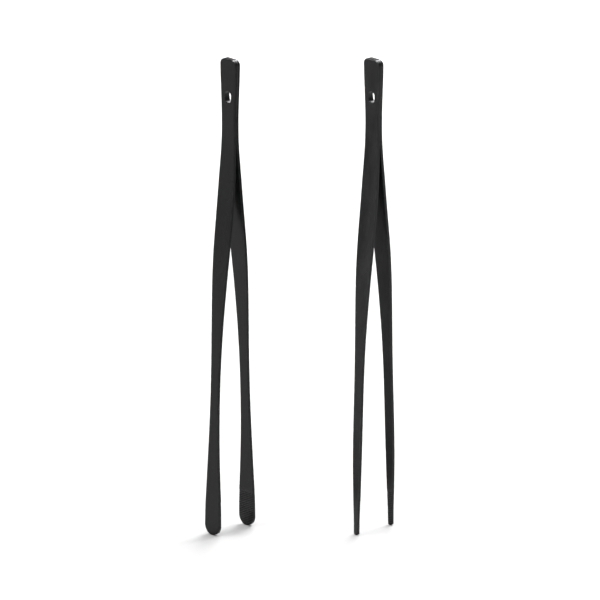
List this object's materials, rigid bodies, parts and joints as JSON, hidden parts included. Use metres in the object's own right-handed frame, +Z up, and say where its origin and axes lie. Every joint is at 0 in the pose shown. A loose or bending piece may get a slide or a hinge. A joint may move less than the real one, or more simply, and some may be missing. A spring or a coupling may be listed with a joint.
{
  "type": "aquascaping tweezers",
  "caption": "Long black spring tweezers as a set: round paddle tips and slim pointed tips, flat leaves welded at a slotted head, with arms that squeeze shut.",
  "frame": {"origin": "on the ground, midway between the two tools, which stand tips down", "axes": "+Z up along the tools from tips to heads, X across the width of the leaves, Y the direction the leaves are squeezed in, front leaves towards -Y"},
  "size_m": [0.0752, 0.0934, 0.3],
  "materials": {
    "coated_steel": "satin black coating on spring steel",
    "weld": "weld ground flush under the same satin black coating"
  },
  "bodies": {
    "paddle_head": {"paddle_front_leaf_root": "coated_steel", "paddle_rear_leaf_root": "coated_steel", "paddle_head_weld": "weld"},
    "paddle_front_arm": {"paddle_front_leaf_arm": "coated_steel"},
    "paddle_rear_arm": {"paddle_rear_leaf_arm": "coated_steel"},
    "pointed_head": {"pointed_front_leaf_root": "coated_steel", "pointed_rear_leaf_root": "coated_steel", "pointed_head_weld": "weld"},
    "pointed_front_arm": {"pointed_front_leaf_arm": "coated_steel"},
    "pointed_rear_arm": {"pointed_rear_leaf_arm": "coated_steel"}
  },
  "joints": [
    {"name": "pointed_lift", "type": "slide", "parent": "paddle_head", "child": "pointed_head", "axis": [0, 0, 1], "range_m": [0, 0.35]},
    {"name": "paddle_front_flex", "type": "hinge", "parent": "paddle_head", "child": "paddle_front_arm", "pos_m": [-0.03092, -0.03332, 0.227], "axis": [1, 0, 0], "range_deg": [0, 3.44], "stiffness_Nm_per_rad": 25.5},
    {"name": "paddle_rear_flex", "type": "hinge", "parent": "paddle_head", "child": "paddle_rear_arm", "pos_m": [-0.03092, -0.02852, 0.227], "axis": [-1, 0, 0], "range_deg": [0, 3.44], "stiffness_Nm_per_rad": 25.5},
    {"name": "pointed_front_flex", "type": "hinge", "parent": "pointed_head", "child": "pointed_front_arm", "pos_m": [0.03092, 0.02852, 0.227], "axis": [1, 0, 0], "range_deg": [0, 3.44], "stiffness_Nm_per_rad": 25.5},
    {"name": "pointed_rear_flex", "type": "hinge", "parent": "pointed_head", "child": "pointed_rear_arm", "pos_m": [0.03092, 0.03332, 0.227], "axis": [-1, 0, 0], "range_deg": [0, 3.44], "stiffness_Nm_per_rad": 25.5}
  ]
}
